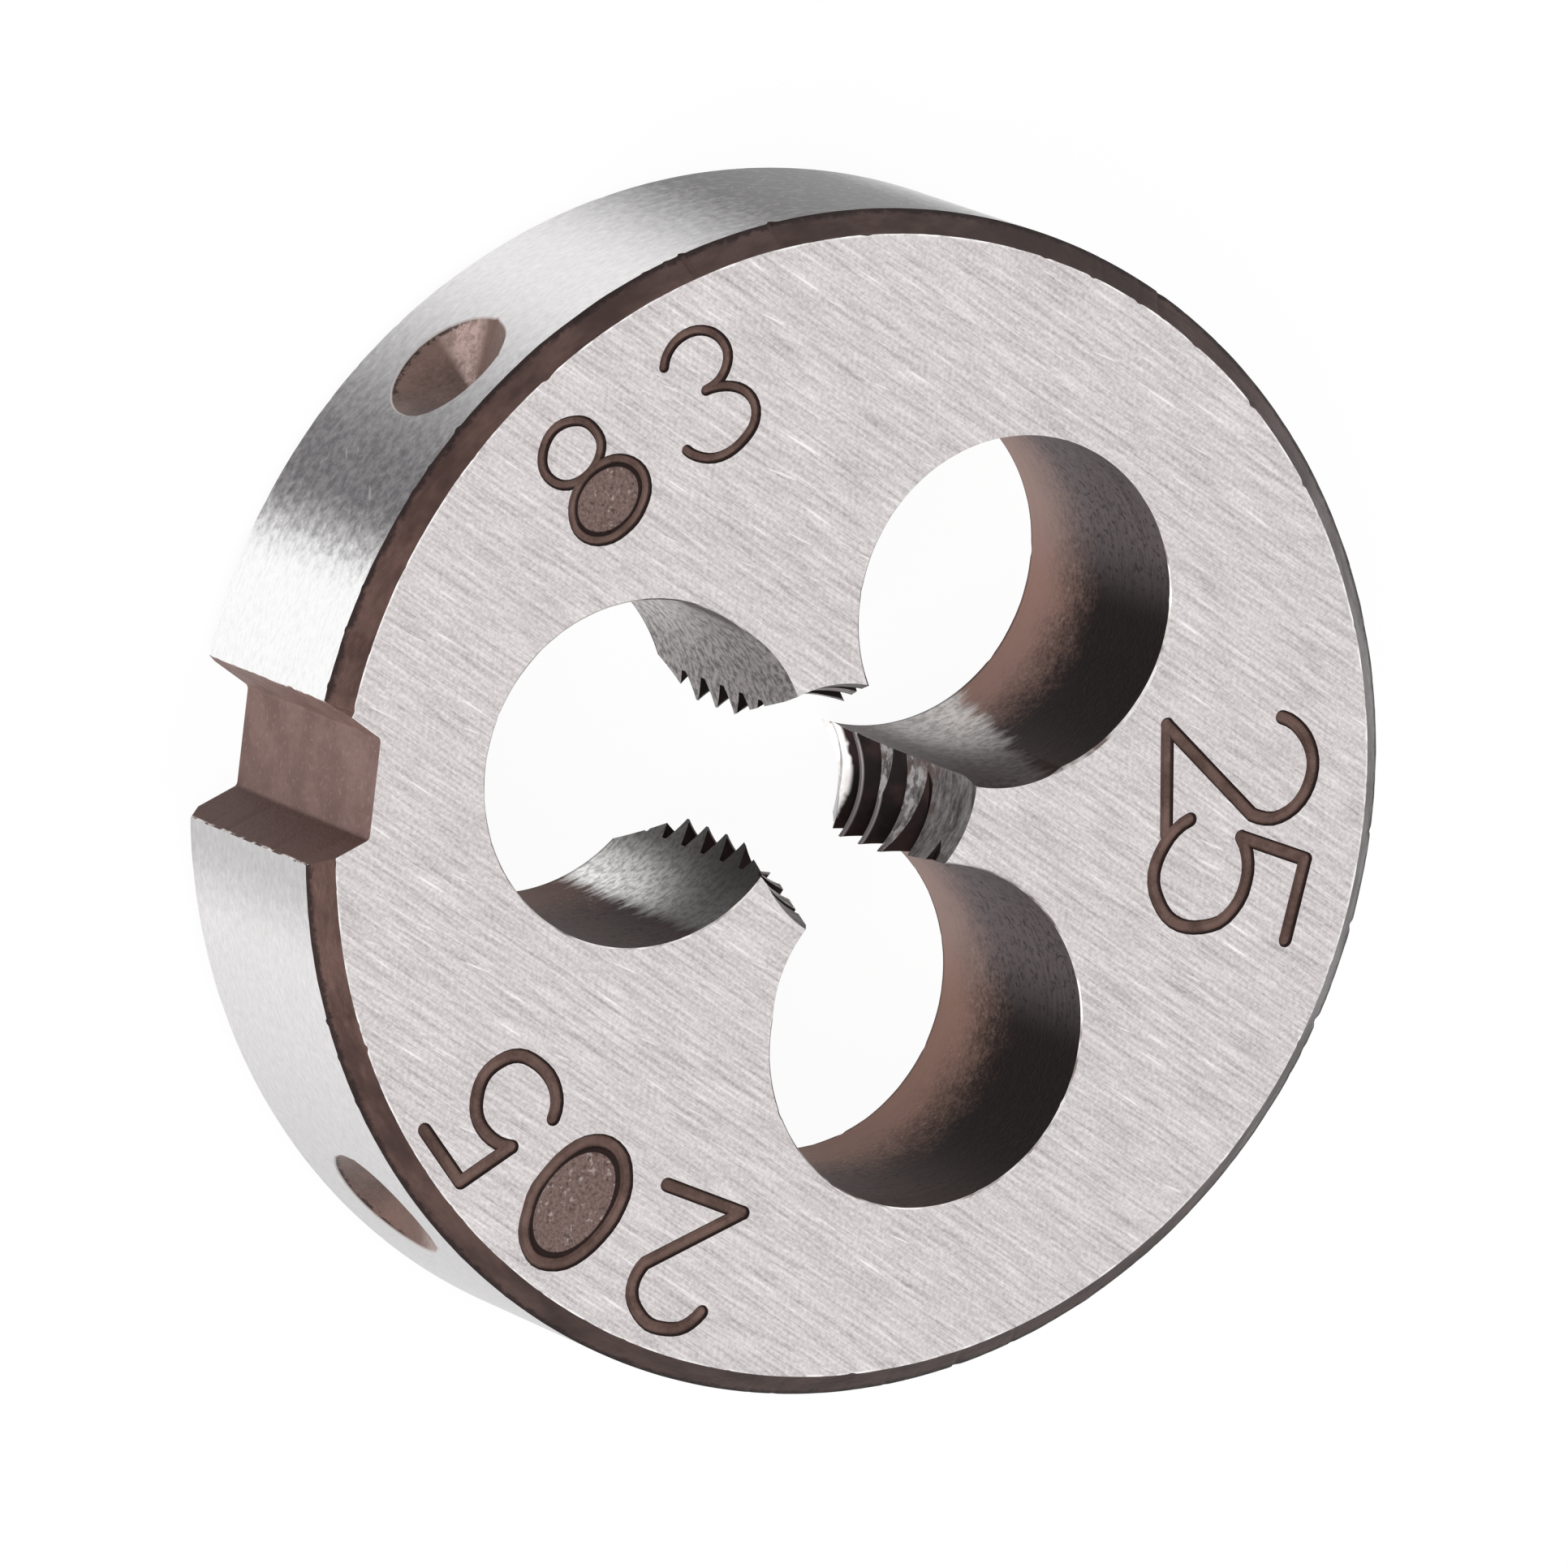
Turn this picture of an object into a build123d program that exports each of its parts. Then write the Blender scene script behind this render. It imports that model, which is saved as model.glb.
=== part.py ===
from build123d import *

import os
from math import atan, cos, degrees, pi, radians, sin, tan

# The die lies on its plain back face, with its axis on Z and the notch in its rim facing -Y.
# Lengths are in millimetres. Angles are in degrees, turned about Z from +X.

# Blank
outside_diameter = 20.0
thickness = 5.0
front_rim_chamfer = 0.37
back_rim_chamfer = 0.27

# Chip holes, which leave the cutting lands between them. The last one wandered in drilling
chip_hole_count = 3
chip_hole_diameter = 5.84
chip_hole_circle = 8.34
chip_hole_turn = -5.8
chip_hole_shift = 0.08
wandered_hole_shift = 0.07
wandered_hole_lean = 0.6

# Left-hand thread in the lands, cut a little off centre
thread_crest_diameter = 3.17
thread_root_diameter = 4.0
thread_pitch = 0.7
thread_flank_angle = 60.0
thread_root_flat = 0.14
thread_root_height = 0.63
thread_shift = 0.08
thread_shift_angle = 267.0

# Lead cones at both ends of the thread, relieved behind each cutting edge
front_lead_mouth_diameter = 4.33
front_lead_side_angle = 15.8
front_lead_relief = 0.35
back_lead_mouth_diameter = 4.72
back_lead_side_angle = 27.0
back_lead_relief = 0.55
lead_shift = 0.06
lead_shift_angle = 196.0

# Notch in the rim
notch_depth = 1.02
notch_floor_width = 1.66
notch_wall_angle = 60.0
notch_corner_radius = 0.1

# Drilled dimples in the rim, for the screws of the stock
dimple_diameter = 2.5
dimple_point_angle = 118.0
dimple_height = 2.7
dimple_spread = 90.0
dimple_turn = 2.5

# Directions round the die
notch_angle = 270.0
hole_step = 360.0 / chip_hole_count
hole_angles = [notch_angle + chip_hole_turn + hole * hole_step for hole in range(chip_hole_count)]
land_angles = [hole_angle + hole_step / 2 for hole_angle in hole_angles]
dimple_angles = [notch_angle + dimple_turn + side * dimple_spread / 2 for side in (-1, 1)]

# Radii and depths that follow from the sizes above
rim = outside_diameter / 2
crest = thread_crest_diameter / 2
root = thread_root_diameter / 2
dimple_depth = dimple_diameter / 2 / tan(radians(dimple_point_angle / 2))

# How far a cutting shape reaches past the surface that it cuts
overrun = 0.1


def polar(radius, angle, height=0.0):
    """Gives the point at a radius, a direction and a height."""
    return (radius * cos(radians(angle)), radius * sin(radians(angle)), height)


with BuildPart() as die_body:
    # Turned blank, chamfered at both rims
    with BuildSketch(Plane.XZ):
        with BuildLine():
            Polyline(
                (0, 0),
                (rim - back_rim_chamfer, 0),
                (rim, back_rim_chamfer),
                (rim, thickness - front_rim_chamfer),
                (rim - front_rim_chamfer, thickness),
                (0, thickness),
                close=True,
            )
        make_face()
    revolve(axis=Axis.Z)

    # Centre bore, at the size of the thread's crests
    thread_axis = Vector(*polar(thread_shift, thread_shift_angle))
    with BuildSketch(Plane(origin=thread_axis)):
        Circle(crest)
    extrude(amount=thickness, mode=Mode.SUBTRACT)

    # Lead cones: each land has its own, off centre, so that it falls away behind the cutting edge
    front_lead = (front_lead_mouth_diameter, front_lead_side_angle, front_lead_relief)
    back_lead = (back_lead_mouth_diameter, back_lead_side_angle, back_lead_relief)
    for face_height, inwards, lead in ((thickness, -1, front_lead), (0, 1, back_lead)):
        mouth_diameter, side_angle, relief = lead
        lead_mouth = mouth_diameter / 2
        lead_end = crest - relief
        lead_depth = (lead_mouth - lead_end) / tan(radians(side_angle))
        lead_axis = Vector(*polar(lead_shift, lead_shift_angle, face_height))
        for land_angle in land_angles:
            middle = lead_axis + Vector(*polar(relief, land_angle - inwards * 90))
            start = land_angle - hole_step / 2
            section = Plane(origin=middle, x_dir=polar(1, start), z_dir=polar(1, start - 90))
            with BuildSketch(section):
                with BuildLine():
                    Polyline(
                        (0, 0),
                        (lead_mouth, 0),
                        (lead_end, inwards * lead_depth),
                        (0, inwards * lead_depth),
                        close=True,
                    )
                make_face()
            revolve(axis=Axis(middle, (0, 0, 1)), revolution_arc=hole_step, mode=Mode.SUBTRACT)

    # Thread: on a land, each turn is a short V ring, tilted by the helix angle to the left hand
    helix_angle = degrees(atan(thread_pitch / (pi * (root + crest))))
    inner = crest - overrun
    inner_half_width = thread_root_flat / 2 + (root - inner) * tan(radians(thread_flank_angle / 2))
    for land_angle in land_angles:
        lowest = (thread_root_height - thread_pitch * land_angle / 360) % thread_pitch
        for turn in range(int((thickness - lowest) / thread_pitch) + 1):
            middle = thread_axis + Vector(0, 0, lowest + turn * thread_pitch)
            level = Plane(origin=middle, x_dir=polar(1, land_angle), z_dir=(0, 0, 1))
            tilted = level.rotated((-helix_angle, 0, 0))
            start = tilted.rotated((0, 0, -hole_step / 2))
            section = Plane(origin=middle, x_dir=start.x_dir, z_dir=-start.y_dir)
            with BuildSketch(section):
                with BuildLine():
                    Polyline(
                        (inner, -inner_half_width),
                        (root, -thread_root_flat / 2),
                        (root, thread_root_flat / 2),
                        (inner, inner_half_width),
                        close=True,
                    )
                make_face()
            revolve(
                axis=Axis(middle, tilted.z_dir),
                revolution_arc=hole_step,
                mode=Mode.SUBTRACT,
            )

    # Chip holes, drilled from the front a little off centre, away from the notch
    leans = [0.0] * (chip_hole_count - 1) + [wandered_hole_lean]
    for hole_angle, lean in zip(hole_angles, leans):
        start = Vector(*polar(chip_hole_circle / 2, hole_angle, thickness))
        start += Vector(*polar(chip_hole_shift, notch_angle + 180))
        if lean:
            start += Vector(*polar(wandered_hole_shift, notch_angle - 90))
        with Locations(Plane(origin=start).rotated((0, lean, 0))):
            Cylinder(chip_hole_diameter / 2, 3 * thickness, mode=Mode.SUBTRACT)

    # Notch: a flat floor between two sloped walls, right through the rim
    floor = rim - notch_depth
    half_floor = notch_floor_width / 2
    open_side = rim + overrun
    half_open_side = half_floor + (open_side - floor) * tan(radians(notch_wall_angle / 2))
    with BuildSketch(Plane.XY.rotated((0, 0, notch_angle))) as notch:
        with BuildLine():
            Polyline(
                (open_side, -half_open_side),
                (floor, -half_floor),
                (floor, half_floor),
                (open_side, half_open_side),
                close=True,
            )
        make_face()
        fillet(notch.vertices().sort_by(Axis.X)[:2], notch_corner_radius)
    extrude(amount=thickness, mode=Mode.SUBTRACT)

    # Dimples: the print of a drill point, square to the rim
    for dimple_angle in dimple_angles:
        seat = Plane(
            origin=polar(rim, dimple_angle, dimple_height),
            z_dir=polar(1, dimple_angle),
        )
        with Locations(seat):
            Cone(
                bottom_radius=0,
                top_radius=dimple_diameter / 2,
                height=dimple_depth,
                align=(Align.CENTER, Align.CENTER, Align.MAX),
                mode=Mode.SUBTRACT,
            )

die_body.part.label = "die_body"
os.makedirs("parts", exist_ok=True)
export_step(die_body.part, "parts/die_body.step")
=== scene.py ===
from math import cos, pi, radians, sin, tan

import bmesh
import bpy
from mathutils import Matrix, Vector, noise


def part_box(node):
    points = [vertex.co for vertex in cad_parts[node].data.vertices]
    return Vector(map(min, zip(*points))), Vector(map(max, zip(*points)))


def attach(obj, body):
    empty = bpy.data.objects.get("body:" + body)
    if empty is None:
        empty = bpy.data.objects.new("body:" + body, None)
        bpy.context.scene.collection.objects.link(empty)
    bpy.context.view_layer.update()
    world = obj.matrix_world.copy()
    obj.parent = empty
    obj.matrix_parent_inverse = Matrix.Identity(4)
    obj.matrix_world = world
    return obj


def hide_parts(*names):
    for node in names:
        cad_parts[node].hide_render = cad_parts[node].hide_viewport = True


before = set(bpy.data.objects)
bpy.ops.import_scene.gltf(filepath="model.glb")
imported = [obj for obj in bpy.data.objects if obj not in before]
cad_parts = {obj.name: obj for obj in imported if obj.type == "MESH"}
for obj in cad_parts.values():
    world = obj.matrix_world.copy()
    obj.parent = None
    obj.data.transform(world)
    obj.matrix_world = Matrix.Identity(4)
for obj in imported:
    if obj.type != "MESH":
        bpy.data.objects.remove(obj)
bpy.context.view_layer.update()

# The die is modelled in millimetres, in the frame's own axes, and brought to metres when it is whole.
# Angles are in degrees, turned about Z from +X. The notch in the rim faces -Y.
MM = 0.001
low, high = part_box("die_body")
rim = (high.x - low.x) / 2 / MM
thickness = high.z / MM

# Blank
front_rim_chamfer = 0.37
back_rim_chamfer = 0.27

# Chip holes. The last one wandered towards -X in drilling, and leans
chip_hole_count = 3
chip_hole_radius = 2.92
chip_hole_circle = 4.17
chip_hole_turn = -5.8
chip_hole_shift = 0.08
wandered_hole_shift = 0.07
hole_leans = (0, 0, 0.6)
edge_break = 0.025

# Left-hand thread
crest = 1.585
root = 2.0
thread_pitch = 0.7
thread_flank_angle = 60.0
thread_root_flat = 0.14
thread_root_height = 0.63
thread_shift = 0.08
thread_shift_angle = 267.0

# Lead cones: height of the face, way into the die, radius at the face, side angle and relief
front_lead = (thickness, -1, 2.165, 15.8, 0.35)
back_lead = (0, 1, 2.36, 27.0, 0.55)
lead_shift = 0.06
lead_shift_angle = 196.0

# Facet on the heel of each land, where the chip hole's wall meets the front face
heel_turn = -148.0
heel_radius = 2.41
heel_shift = 0.63
heel_side_angle = 21.0
heel_depth = 0.5

# Notch and dimples in the rim
notch_depth = 1.02
notch_floor_width = 1.66
notch_wall_angle = 60.0
notch_corner_radius = 0.1
dimple_radius = 1.25
dimple_point_angle = 118.0
dimple_height = 2.7
dimple_spread = 90.0
dimple_turn = 2.5

# Directions round the die
notch_angle = 270.0
hole_step = 360.0 / chip_hole_count
hole_angles = [notch_angle + chip_hole_turn + hole * hole_step for hole in range(chip_hole_count)]
land_angles = [angle + hole_step / 2 for angle in hole_angles]
dimple_angles = [notch_angle + dimple_turn + side * dimple_spread / 2 for side in (-1, 1)]

# How far a cutting shape reaches past the surface that it cuts
overrun = 0.1

# How many steps each round shape is made in, the thread's for one turn, and slices of the notch
blank_steps = 1440
hole_steps = 480
facet_steps = 192
bore_steps = 192
lead_steps = 64
thread_steps = 96
dimple_steps = 144
bowl_steps = 50
notch_slices = 60

# How far each edge strays: gently everywhere, and in nicks
front_chamfer_stray = (0.016, 0.22)
back_chamfer_stray = (0.012, 0.05)
face_edge_stray = (0.006, 0.07)
hole_front_stray = (0.008, 0.05)
hole_back_stray = (0.008, 0.06)
notch_stray = (0.006, 0.08)
dimple_stray = (0.015, 0.1)

# Directions of the grinding lines on the faces, and of the scratches that cross them
face_grind_angle = 61.8
face_scratch_angle = 70.0


def polar(radius, angle, height=0.0):
    """Gives the point at a radius, a direction and a height."""
    return Vector((radius * cos(radians(angle)), radius * sin(radians(angle)), height))


hole_centres = [
    polar(chip_hole_circle, angle) + polar(chip_hole_shift, notch_angle + 180) for angle in hole_angles
]
hole_centres[-1] += polar(wandered_hole_shift, 180)
thread_axis = polar(thread_shift, thread_shift_angle)
lead_axis = polar(lead_shift, lead_shift_angle)


# Shapes

def spun(profile, steps, centre=(0, 0, 0), start=0.0, turn=360.0, rise=0.0):
    """Spins a line of (radius, height) points about an upright axis, and closes what is left open."""
    bm = bmesh.new()
    middle = Vector(centre)
    verts = [bm.verts.new(middle + polar(radius, start, height)) for radius, height in profile]
    edges = [bm.edges.new(pair) for pair in zip(verts, verts[1:])]
    full = turn == 360.0 and rise == 0.0
    if not full:
        edges.append(bm.edges.new((verts[-1], verts[0])))
    bmesh.ops.spin(
        bm,
        geom=verts + edges,
        cent=middle,
        axis=(0, 0, 1),
        dvec=(0, 0, rise / steps),
        angle=radians(turn),
        steps=steps,
        use_merge=full,
    )
    bmesh.ops.remove_doubles(bm, verts=bm.verts, dist=1e-5)
    bmesh.ops.holes_fill(bm, edges=[edge for edge in bm.edges if edge.is_boundary], sides=0)
    bmesh.ops.recalc_face_normals(bm, faces=bm.faces)
    return bm


def shape(name, bm, *materials):
    """Makes a shape of its own from a bmesh, with its finishes."""
    mesh = bpy.data.meshes.new(name)
    bm.to_mesh(mesh)
    bm.free()
    for material in materials:
        mesh.materials.append(material)
    thing = bpy.data.objects.new(name, mesh)
    bpy.context.scene.collection.objects.link(thing)
    return thing


def unsteady(spot, gentle, nicks):
    """Gives how far an edge strays at a spot: gently everywhere, and now and then in a small nick."""
    stray = noise.noise(spot * 1.7) + 0.5 * noise.noise(spot * 6.0)
    nick = max(0.0, noise.noise(spot * 4.3 + Vector((7, 3, 1))) - 0.3)
    return gentle * stray + nicks * 3 * nick**2


def blank(face, rim_finish, scale):
    """The turned disc, with the chamfers of both rims left a little uneven."""
    bm = spun(
        [
            (rim - back_rim_chamfer, 0),
            (rim, back_rim_chamfer),
            (rim, thickness - front_rim_chamfer),
            (rim - front_rim_chamfer, thickness),
        ],
        blank_steps,
    )
    for vert in bm.verts:
        if abs(vert.co.z - (thickness - front_rim_chamfer)) < 0.01:
            vert.co.z -= unsteady(vert.co, *front_chamfer_stray)
        elif abs(vert.co.z - back_rim_chamfer) < 0.01:
            vert.co.z += unsteady(vert.co, *back_chamfer_stray)
        else:
            vert.co.xy *= 1 - unsteady(vert.co, *face_edge_stray) / rim
    bm.normal_update()
    for part in bm.faces:
        upright = abs(part.normal.z)
        part.material_index = 0 if upright > 0.95 else 1 if upright < 0.2 else 2
    return shape("die", bm, face, rim_finish, scale)


def chip_hole(hole, wall, edge):
    """A drill's print right through, a little broken at both edges."""
    wide = chip_hole_radius + edge_break + overrun
    bm = spun(
        [
            (wide, overrun),
            (chip_hole_radius, -edge_break),
            (chip_hole_radius, edge_break - thickness),
            (wide, -overrun - thickness),
        ],
        hole_steps,
    )
    for vert in bm.verts:
        if abs(vert.co.z + edge_break) < 0.001:
            vert.co.z -= unsteady(vert.co + hole_centres[hole], *hole_front_stray)
        elif abs(vert.co.z + thickness - edge_break) < 0.001:
            vert.co.z += unsteady(vert.co + hole_centres[hole], *hole_back_stray)
    bm.normal_update()
    for part in bm.faces:
        part.material_index = 0 if abs(part.normal.z) < 0.3 else 1
    lean = Matrix.Rotation(radians(hole_leans[hole]), 4, "Y")
    bm.transform(Matrix.Translation(hole_centres[hole] + Vector((0, 0, thickness))) @ lean)
    return shape("chip_hole", bm, wall, edge)


def heel_facet(hole, material):
    """A narrow facet on the front edge of the chip hole, at the heel of the land beside it."""
    slope = tan(radians(heel_side_angle))
    corner = hole_angles[hole] + heel_turn
    middle = hole_centres[hole] + polar(heel_shift, corner, thickness)
    bm = spun(
        [(heel_radius + overrun * slope, overrun), (heel_radius - heel_depth * slope, -heel_depth)],
        facet_steps,
        middle,
    )
    return shape("heel_facet", bm, material)


def bore(material):
    """The round hole at the size of the thread's crests."""
    bm = spun([(crest, -overrun), (crest, thickness + overrun)], bore_steps, thread_axis)
    return shape("bore", bm, material)


def lead_cone(lead, land_angle, material):
    """One land's cone at one end of the thread, off centre to give relief behind the edge."""
    face_height, inwards, lead_mouth, side_angle, relief = lead
    lead_end = crest - relief
    depth = (lead_mouth - lead_end) / tan(radians(side_angle))
    outer = lead_mouth + overrun * tan(radians(side_angle))
    middle = lead_axis + polar(relief, land_angle - inwards * 90, face_height)
    bm = spun(
        [
            (0, -inwards * overrun),
            (outer, -inwards * overrun),
            (lead_end, inwards * depth),
            (0, inwards * depth),
        ],
        lead_steps,
        middle,
        land_angle - hole_step / 2,
        hole_step,
    )
    return shape("lead_cone", bm, material)


def thread_groove(material):
    """The groove between the crests, one long left-hand helix."""
    inner = crest - overrun
    half_root = thread_root_flat / 2
    half_inner = half_root + (root - inner) * tan(radians(thread_flank_angle / 2))
    turns = int(thickness / thread_pitch) + 3
    lowest = thread_root_height - thread_pitch
    bm = spun(
        [
            (inner, lowest - half_inner),
            (root, lowest - half_root),
            (root, lowest + half_root),
            (inner, lowest + half_inner),
        ],
        thread_steps * turns,
        thread_axis,
        turn=-360.0 * turns,
        rise=thread_pitch * turns,
    )
    return shape("thread_groove", bm, material)


def notch(material):
    """The notch's section, with rounded floor corners, pushed through the disc and left uneven."""
    bm = bmesh.new()
    floor_line = rim - notch_depth
    open_side = rim + overrun
    half_floor = notch_floor_width / 2
    half_open = half_floor + (open_side - floor_line) * tan(radians(notch_wall_angle / 2))
    corners = [
        (-half_open, open_side),
        (-half_floor, floor_line),
        (half_floor, floor_line),
        (half_open, open_side),
    ]
    outwards = polar(1, notch_angle)
    across = polar(1, notch_angle + 90)
    verts = [bm.verts.new(across * x + outwards * y + Vector((0, 0, -overrun))) for x, y in corners]
    section = bm.faces.new(verts)
    pushed = bmesh.ops.extrude_face_region(bm, geom=[section])
    moved = [item for item in pushed["geom"] if isinstance(item, bmesh.types.BMVert)]
    bmesh.ops.translate(bm, verts=moved, vec=(0, 0, thickness + 2 * overrun))
    upright = [edge for edge in bm.edges if abs(edge.verts[0].co.z - edge.verts[1].co.z) > thickness]
    floor_corners = [edge for edge in upright if edge.verts[0].co.dot(outwards) < floor_line + 0.01]
    bmesh.ops.bevel(
        bm,
        geom=floor_corners,
        offset=notch_corner_radius * tan(radians(45 - notch_wall_angle / 4)),
        offset_type="OFFSET",
        segments=5,
        profile=0.5,
        affect="EDGES",
        material=-1,
    )
    for level in range(1, notch_slices):
        height = -overrun + (thickness + 2 * overrun) * level / notch_slices
        bmesh.ops.bisect_plane(
            bm, geom=bm.verts[:] + bm.edges[:] + bm.faces[:], plane_co=(0, 0, height), plane_no=(0, 0, 1)
        )
    for vert in bm.verts:
        side = 1 if vert.co.dot(across) > 0 else -1
        vert.co += across * side * max(0.0, 0.004 + unsteady(vert.co, *notch_stray))
    bmesh.ops.recalc_face_normals(bm, faces=bm.faces)
    return shape("notch", bm, material)


def dimple(angle, material):
    """The print of a drill point, square to the rim."""
    slope = tan(radians(dimple_point_angle / 2))
    depth = dimple_radius / slope
    reach = 0.3
    bm = bmesh.new()
    bmesh.ops.create_cone(
        bm,
        cap_ends=True,
        segments=dimple_steps,
        radius1=0.0,
        radius2=dimple_radius + reach * slope,
        depth=depth + reach,
        matrix=Matrix.Translation(polar(rim - depth + (depth + reach) / 2, angle, dimple_height))
        @ Matrix.Rotation(radians(angle), 4, "Z")
        @ Matrix.Rotation(radians(90), 4, "Y"),
    )
    for vert in bm.verts:
        if vert.co.xy.length > rim:
            middle = polar(vert.co.xy.length, angle, dimple_height)
            vert.co += (vert.co - middle).normalized() * unsteady(vert.co, *dimple_stray)
    bmesh.ops.recalc_face_normals(bm, faces=bm.faces)
    return shape("dimple", bm, material)


def cut(body, cutter):
    """Takes the cutter's shape out of the body, and leaves the cutter's finish on the cut."""
    step = body.modifiers.new(cutter.name, "BOOLEAN")
    step.operation = "DIFFERENCE"
    step.object = cutter
    step.solver = "EXACT"
    step.material_mode = "TRANSFER"


# Numbers cut into the front face, drawn in a cell one high and standing on its base line

def arc(x, y, wide, tall, start, end):
    """Gives the points of a part of an oval."""
    count = max(3, round(abs(end - start) / 10))
    turns = [radians(start + (end - start) * step / count) for step in range(count + 1)]
    return [(x + wide * cos(turn), y + tall * sin(turn)) for turn in turns]


figures = {
    "0": [arc(0, 0.5, 0.33, 0.5, 90, 450)],
    "2": [arc(0, 0.71, 0.31, 0.29, 165, -25) + [(-0.32, 0.0)], [(-0.32, 0.0), (0.34, 0.0)]],
    "3": [arc(0, 0.76, 0.27, 0.24, 160, -90), arc(0, 0.26, 0.33, 0.26, 90, -160)],
    "5": [
        [(0.28, 1.0), (-0.22, 1.0)],
        [(-0.22, 1.0), (-0.27, 0.54)],
        arc(-0.02, 0.32, 0.34, 0.32, 138, -150),
    ],
    "8": [arc(0, 0.77, 0.26, 0.23, -90, 270), arc(0, 0.27, 0.34, 0.27, 90, 450)],
}

# Ovals whose inside broke out when the number was struck: centre and half sizes, as above, and then
# the depth of the bowls and how wide their floor is, as a share of the oval
broken_out = {"0": (0, 0.5, 0.33, 0.5), "8": (0, 0.27, 0.34, 0.27)}
broken_out_depth = 0.07
broken_out_floor = 0.8

# Each mark's figure, direction, radius and size, with the half width and depth of its strokes
fine_stroke, coarse_stroke = (0.095, 0.085), (0.13, 0.105)
marks = (
    ("8", 226.8, 7.75, 2.2, fine_stroke),
    ("3", 208.6, 7.75, 2.2, fine_stroke),
    ("2", -16.6, 8.1, 2.3, coarse_stroke),
    ("0", -33.0, 8.1, 2.3, coarse_stroke),
    ("5", -48.5, 8.1, 2.3, coarse_stroke),
    ("2", 97.0, 7.2, 2.8, coarse_stroke),
    ("5", 82.0, 7.2, 2.8, coarse_stroke),
)

# How far a stroke sways to the side, and by what share it swells
stroke_sway = 0.03
stroke_swell = 0.035


def number_stroke(stroke, angle, radius, size, half_width, depth, material):
    """One round-bottomed stroke of a figure whose top points outwards, as a shape to cut with."""
    outwards = polar(1, angle)
    across = polar(1, angle - 90)
    tool = (half_width**2 + depth**2) / (2 * depth)
    lift = Vector((0, 0, thickness + tool - depth))
    drawing = bpy.data.curves.new("stroke", "CURVE")
    drawing.dimensions = "3D"
    drawing.bevel_depth = tool
    drawing.bevel_resolution = 4
    drawing.use_fill_caps = True
    flat = [Vector(point) * size for point in stroke]
    closed = (flat[0] - flat[-1]).length < 0.01
    if closed:
        flat.pop()
    line = drawing.splines.new("POLY")
    path = [(point, 1.0) for point in flat] if closed else rounded_ends(flat, half_width, tool)
    line.points.add(len(path) - 1)
    line.use_cyclic_u = closed
    for point, (where, share) in zip(line.points, path):
        spot = outwards * (radius + where.y - size / 2) + across * where.x + lift
        place = spot * 2.1
        sway = Vector((noise.noise(place), noise.noise(place + Vector((5, 5, 5))), 0)) * stroke_sway
        point.co = (*(spot + sway), 1)
        point.radius = share * (1 + stroke_swell * noise.noise(spot * 3))
    thing = bpy.data.objects.new("stroke", drawing)
    bpy.context.scene.collection.objects.link(thing)
    bm = bmesh.new()
    mesh = bpy.data.meshes.new_from_object(thing)
    bm.from_mesh(mesh)
    bpy.data.objects.remove(thing)
    bpy.data.meshes.remove(mesh)
    bmesh.ops.remove_doubles(bm, verts=bm.verts, dist=1e-5)
    bmesh.ops.recalc_face_normals(bm, faces=bm.faces)
    return shape("stroke", bm, material)


def rounded_ends(points, half_width, tool):
    """Gives (point, share of full width) along an open line, so that it starts and stops round."""
    first = (points[0] - points[1]).normalized()
    last = (points[-1] - points[-2]).normalized()
    turns = [radians(step * 22.5) for step in range(4)]
    steps = [(half_width * cos(turn), 1 - (1 - sin(turn)) * half_width / tool) for turn in turns]
    start = [(points[0] + first * reach, share) for reach, share in steps]
    end = [(points[-1] + last * reach, share) for reach, share in reversed(steps)]
    return start + [(point, 1.0) for point in points] + end


def broken_bowl(figure, angle, radius, size, material):
    """The shallow rough bowl inside a closed figure."""
    x, y, wide, tall = broken_out[figure]
    outwards = polar(1, angle)
    across = polar(1, angle - 90)
    middle = outwards * (radius + (y - 0.5) * size) + across * x * size + Vector((0, 0, thickness))
    oval = Matrix((across * wide * size, outwards * tall * size, Vector((0, 0, 1)))).transposed().to_4x4()
    bm = bmesh.new()
    bmesh.ops.create_cone(
        bm,
        cap_ends=True,
        segments=bowl_steps,
        radius1=broken_out_floor,
        radius2=1.0,
        depth=2 * broken_out_depth,
        matrix=Matrix.Translation(middle) @ oval,
    )
    bm.normal_update()
    bmesh.ops.recalc_face_normals(bm, faces=bm.faces)
    return shape("broken_bowl", bm, material)


def finished(body):
    """Makes all cuts final, brings the die to metres and smooths it between its edges."""
    depsgraph = bpy.context.evaluated_depsgraph_get()
    mesh = bpy.data.meshes.new_from_object(body.evaluated_get(depsgraph))
    cutters = [step.object for step in body.modifiers]
    body.modifiers.clear()
    body.data = mesh
    for cutter in cutters:
        bpy.data.objects.remove(cutter)
    bm = bmesh.new()
    bm.from_mesh(mesh)
    bmesh.ops.remove_doubles(bm, verts=bm.verts, dist=1e-4)
    bmesh.ops.dissolve_degenerate(bm, edges=bm.edges, dist=1e-4)
    bmesh.ops.scale(bm, vec=(MM, MM, MM), verts=bm.verts)
    bmesh.ops.triangulate(bm, faces=[part for part in bm.faces if len(part.verts) > 4])
    for part in bm.faces:
        part.smooth = True
    bm.to_mesh(mesh)
    bm.free()
    mesh.set_sharp_from_angle(angle=radians(28))
    mesh.name = "die"
    return body


# Finishes

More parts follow.
